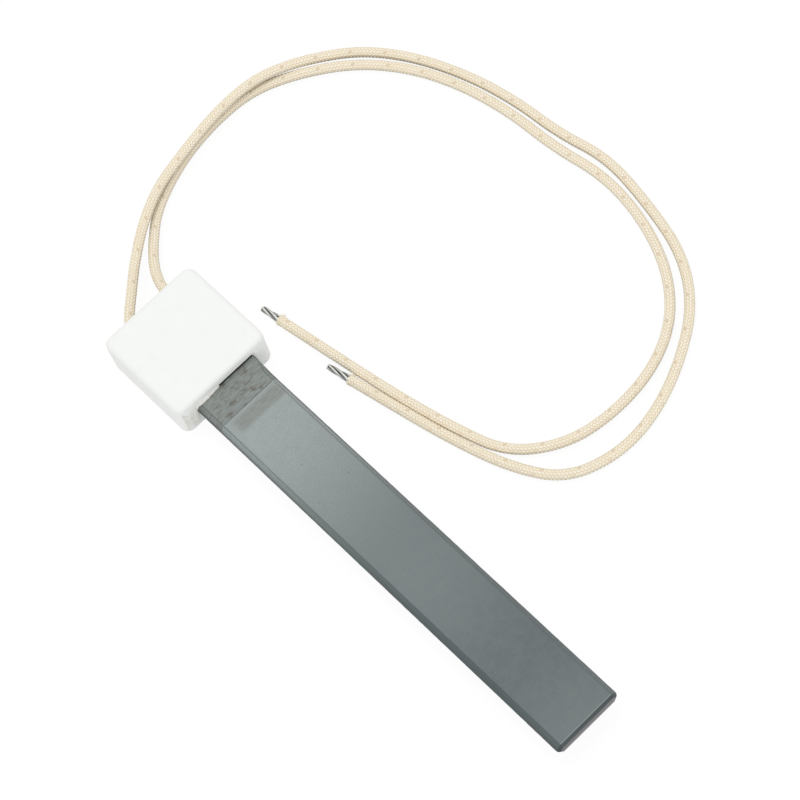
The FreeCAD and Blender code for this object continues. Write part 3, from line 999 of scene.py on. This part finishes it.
def make_tinned_end(side, end, heading, settings, material):
    """Twisted strands round a core, tapered to the tip, in a thin coat of tin."""
    fill = math.sin(math.pi / settings.outer) / (1 + math.sin(math.pi / settings.outer)) * 1.04
    across = heading.orthogonal().normalized()
    third = heading.cross(across)
    root = settings.root_diameter / 2
    tip = settings.tip_diameter / 2
    points = 14
    rings = 44
    vertices = []
    hollows = []
    faces = []
    for strand in range(settings.outer + 1):
        core = strand == settings.outer
        length = BARE_LENGTHS[side] - settings.shortening * (strand % 3)
        for ring in range(rings):
            reach = -settings.inside + (length + settings.inside) * ring / (rings - 1)
            bundle = root + (tip - root) * max(0.0, reach / BARE_LENGTHS[side])
            thickness = bundle * (1 - 1.9 * fill if core else fill)
            to_tip = (length - reach) / settings.tip_round
            thickness *= math.sqrt(max(0.02, 1 - max(0.0, 1 - to_tip) ** 2))
            turn = 2 * math.pi * (strand / settings.outer + reach / settings.lay)
            away = 0.0 if core else bundle * (1 - fill)
            centre = end + heading * reach + (across * math.cos(turn) + third * math.sin(turn)) * away
            vertices += circle(centre, across, third, thickness, points)
            # Painted shade: full on the core, and on the outer strands' sides that face inwards
            for point in range(points):
                outward = math.cos(2 * math.pi * point / points - turn)
                hollows.append(1.0 if core else max(0.0, min(1.0, 0.85 - 1.2 * outward)))
        faces += ring_faces(rings, points, offset=strand * rings * points)
    piece = new_piece("tinned_strands_" + side, vertices, faces, material)
    mark_points(piece, "hollow", hollows)
    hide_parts("tinned_end_" + side)
    return piece


def make_fray(side, end, heading, settings, material):
    """A few loose glass fibres at the sleeve's cut end."""
    chance = np.random.RandomState(11 if side == "left" else 23)
    across = heading.orthogonal().normalized()
    third = heading.cross(across)
    tuft = heading.cross(Vector((0.74, -0.67, -0.5))) * 1.5
    lowest = 0.08 * MM
    points = 5
    steps = 7
    vertices = []
    faces = []
    for fibre in range(settings.fibres):
        spoke = heading.cross(Vector(chance.normal(0, 1, 3).tolist()) + tuft * (fibre % 3)).normalized()
        place = end + spoke * (1.0 + 0.12 * chance.rand()) * MM - heading * 0.5 * MM
        course = heading * (0.1 + 0.5 * chance.rand()) + spoke * (0.3 + 0.6 * chance.rand())
        course += Vector(chance.normal(0, 0.25, 3).tolist())
        curl = Vector(chance.normal(0, 0.35, 3).tolist())
        length = (0.5 + 0.9 * chance.rand()) * MM
        offset = len(vertices)
        for step in range(steps):
            part = step / (steps - 1)
            centre = place + (course * part + curl * part * part) * length
            centre.z = max(centre.z, lowest)
            vertices += circle(centre, across, third, (0.045 - 0.02 * part) * MM, points)
        faces += ring_faces(steps, points, offset=offset)
    return new_piece("frayed_fibres_" + side, vertices, faces, material)


def make_camera(settings):
    """The camera at the photograph's viewing angle."""
    azimuth = math.radians(settings.azimuth)
    elevation = math.radians(settings.elevation)
    roll = -math.radians(settings.roll)
    flat = math.cos(elevation)
    back = Vector((math.sin(azimuth) * flat, -math.cos(azimuth) * flat, math.sin(elevation)))
    level = Vector((math.cos(azimuth), math.sin(azimuth), 0))
    upward = back.cross(level)
    right = level * math.cos(roll) + upward * math.sin(roll)
    up = upward * math.cos(roll) - level * math.sin(roll)
    data = bpy.data.cameras.new("camera")
    data.sensor_width = 36
    data.lens = settings.lens
    data.clip_start = 0.01
    camera = new_object("camera", data)
    turn = Matrix((right, up, back)).transposed().to_4x4()
    camera.matrix_world = Matrix.Translation(CAMERA_TARGET + back * settings.distance) @ turn
    bpy.context.scene.camera = camera


def make_lamp(name, place, width, power):
    """A large square lamp that looks at the part."""
    data = bpy.data.lights.new(name, "AREA")
    data.size = width
    data.energy = power
    turn = (LAMP_TARGET - place).to_track_quat("-Z", "Y")
    new_object(name, data).matrix_world = Matrix.Translation(place) @ turn.to_matrix().to_4x4()


def seen_rays(paint):
    """1 for the camera, for mirrors and for glass, 0 for every other ray."""
    camera = paint.add("LightPath", {}, {})
    glossy = paint.add("LightPath", {}, {}, output=3)
    through = paint.add("LightPath", {}, {}, output=6)
    return paint.maths("MAXIMUM", camera, paint.maths("MAXIMUM", glossy, through))


def make_floor(settings):
    """A pale floor that keeps a faint shadow and looks white."""
    paint = new_paint("floor")
    paint.base = settings.floor
    paint.finish(Roughness=0.9, Specular_IOR_Level=0.0)
    white = paint.add("Emission", {}, {"Color": (1, 1, 1, 1), "Strength": FLOOR_WHITE})
    shadow = Socket(paint, paint.shader.outputs["BSDF"])
    surface = paint.add("MixShader", {}, {0: seen_rays(paint) * FLOOR_SHARE, 1: shadow, 2: white})
    paint.connect(paint.tree.nodes["Material Output"], {"Surface": surface})
    mesh = bpy.data.meshes.new("floor")
    signs = ((-1, -1), (1, -1), (1, 1), (-1, 1))
    outline = [(x * FLOOR_HALF, y * FLOOR_HALF, -FLOOR_DROP) for x, y in signs]
    mesh.from_pydata(outline, [], [(0, 1, 2, 3)])
    mesh.materials.append(paint.owner)
    new_object("floor", mesh)


def make_sky(settings):
    """Even light from all round, which looks white where it is seen."""
    world = bpy.data.worlds.new("sky")
    bpy.context.scene.world = world
    paint = Paint(world, "Background")
    strength = settings.sky + (1 - settings.sky) * seen_rays(paint)
    paint.connect(paint.shader, {"Color": (1, 1, 1, 1), "Strength": strength})


class IGNITER_OT_stage(Operator):
    """Add the camera, the lamps and the floor"""

    bl_idname = "igniter.stage"
    bl_label = "Stage"

    def execute(self, context):
        settings = context.scene.igniter_stage
        make_camera(settings)
        make_sky(settings)
        make_floor(settings)
        make_lamp("key lamp", KEY_PLACE, KEY_WIDTH, settings.key)
        make_lamp("fill lamp", FILL_PLACE, FILL_WIDTH, settings.fill)
        context.scene.view_settings.view_transform = "Standard"
        return {"FINISHED"}


class IGNITER_OT_leads(Operator):
    """Add the braided leads with their tinned ends"""

    bl_idname = "igniter.leads"
    bl_label = "Leads"

    def execute(self, context):
        lead = context.scene.igniter_lead
        strand = context.scene.igniter_strand
        braid_material = glass_braid(lead)
        fray_material = plain_fibre(lead)
        tin = tinned_copper(strand)
        for side in LEAD_ROUTES:
            sleeve, centres = make_sleeve(side, lead, braid_material)
            end = Vector(centres[-1])
            heading = (end - Vector(centres[-8])).normalized()
            strands = make_tinned_end(side, end, heading, strand, tin)
            fray = make_fray(side, end, heading, lead, fray_material)
        return {"FINISHED"}


class IGNITER_OT_holder(Operator):
    """Add the ceramic block"""

    bl_idname = "igniter.holder"
    bl_label = "Ceramic block"

    def execute(self, context):
        make_holder(context.scene.igniter_holder)
        return {"FINISHED"}


class IGNITER_OT_blade(Operator):
    """Add the heater blade"""

    bl_idname = "igniter.blade"
    bl_label = "Heater blade"

    def execute(self, context):
        make_blade(context.scene.igniter_blade)
        return {"FINISHED"}


class IGNITER_OT_cement(Operator):
    """Add the cement"""

    bl_idname = "igniter.cement"
    bl_label = "Cement"

    def execute(self, context):
        make_cement(context.scene.igniter_cement)
        return {"FINISHED"}


class IGNITER_OT_sealed(Operator):
    """Give the sealed metal pieces their finish"""

    bl_idname = "igniter.sealed"
    bl_label = "Sealed pieces"

    def execute(self, context):
        metal = plated_metal()
        for name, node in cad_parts.items():
            if not node.hide_render:
                node.data.materials.clear()
                node.data.materials.append(metal)
        return {"FINISHED"}


OPERATORS = (
    IGNITER_OT_stage,
    IGNITER_OT_leads,
    IGNITER_OT_holder,
    IGNITER_OT_blade,
    IGNITER_OT_cement,
    IGNITER_OT_sealed,
)
SETTINGS = {
    "igniter_stage": StageSettings,
    "igniter_lead": LeadSettings,
    "igniter_strand": StrandSettings,
    "igniter_holder": HolderSettings,
    "igniter_blade": BladeSettings,
    "igniter_cement": CementSettings,
}


class IGNITER_PT_panel(Panel):
    """The igniter's settings and pieces"""

    bl_idname = "IGNITER_PT_panel"
    bl_label = "Hot surface igniter"
    bl_space_type = "VIEW_3D"
    bl_region_type = "UI"
    bl_category = "Igniter"

    def draw(self, context):
        for name, group in SETTINGS.items():
            box = self.layout.box()
            for setting in group.__annotations__:
                label = setting.replace("_", " ").capitalize()
                box.prop(getattr(context.scene, name), setting, text=label)
        for operator in OPERATORS:
            self.layout.operator(operator.bl_idname)


def register():
    for group in SETTINGS.values():
        bpy.utils.register_class(group)
    for name, group in SETTINGS.items():
        setattr(bpy.types.Scene, name, PointerProperty(type=group))
    for operator in OPERATORS:
        bpy.utils.register_class(operator)
    bpy.utils.register_class(IGNITER_PT_panel)


def unregister():
    bpy.utils.unregister_class(IGNITER_PT_panel)
    for operator in reversed(OPERATORS):
        bpy.utils.unregister_class(operator)
    for name, group in SETTINGS.items():
        delattr(bpy.types.Scene, name)
        bpy.utils.unregister_class(group)


def main():
    """Dress the frame."""
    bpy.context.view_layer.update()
    register()
    bpy.ops.igniter.stage()
    bpy.ops.igniter.leads()
    bpy.ops.igniter.holder()
    bpy.ops.igniter.blade()
    bpy.ops.igniter.cement()
    bpy.ops.igniter.sealed()


if __name__ == "__main__":
    main()
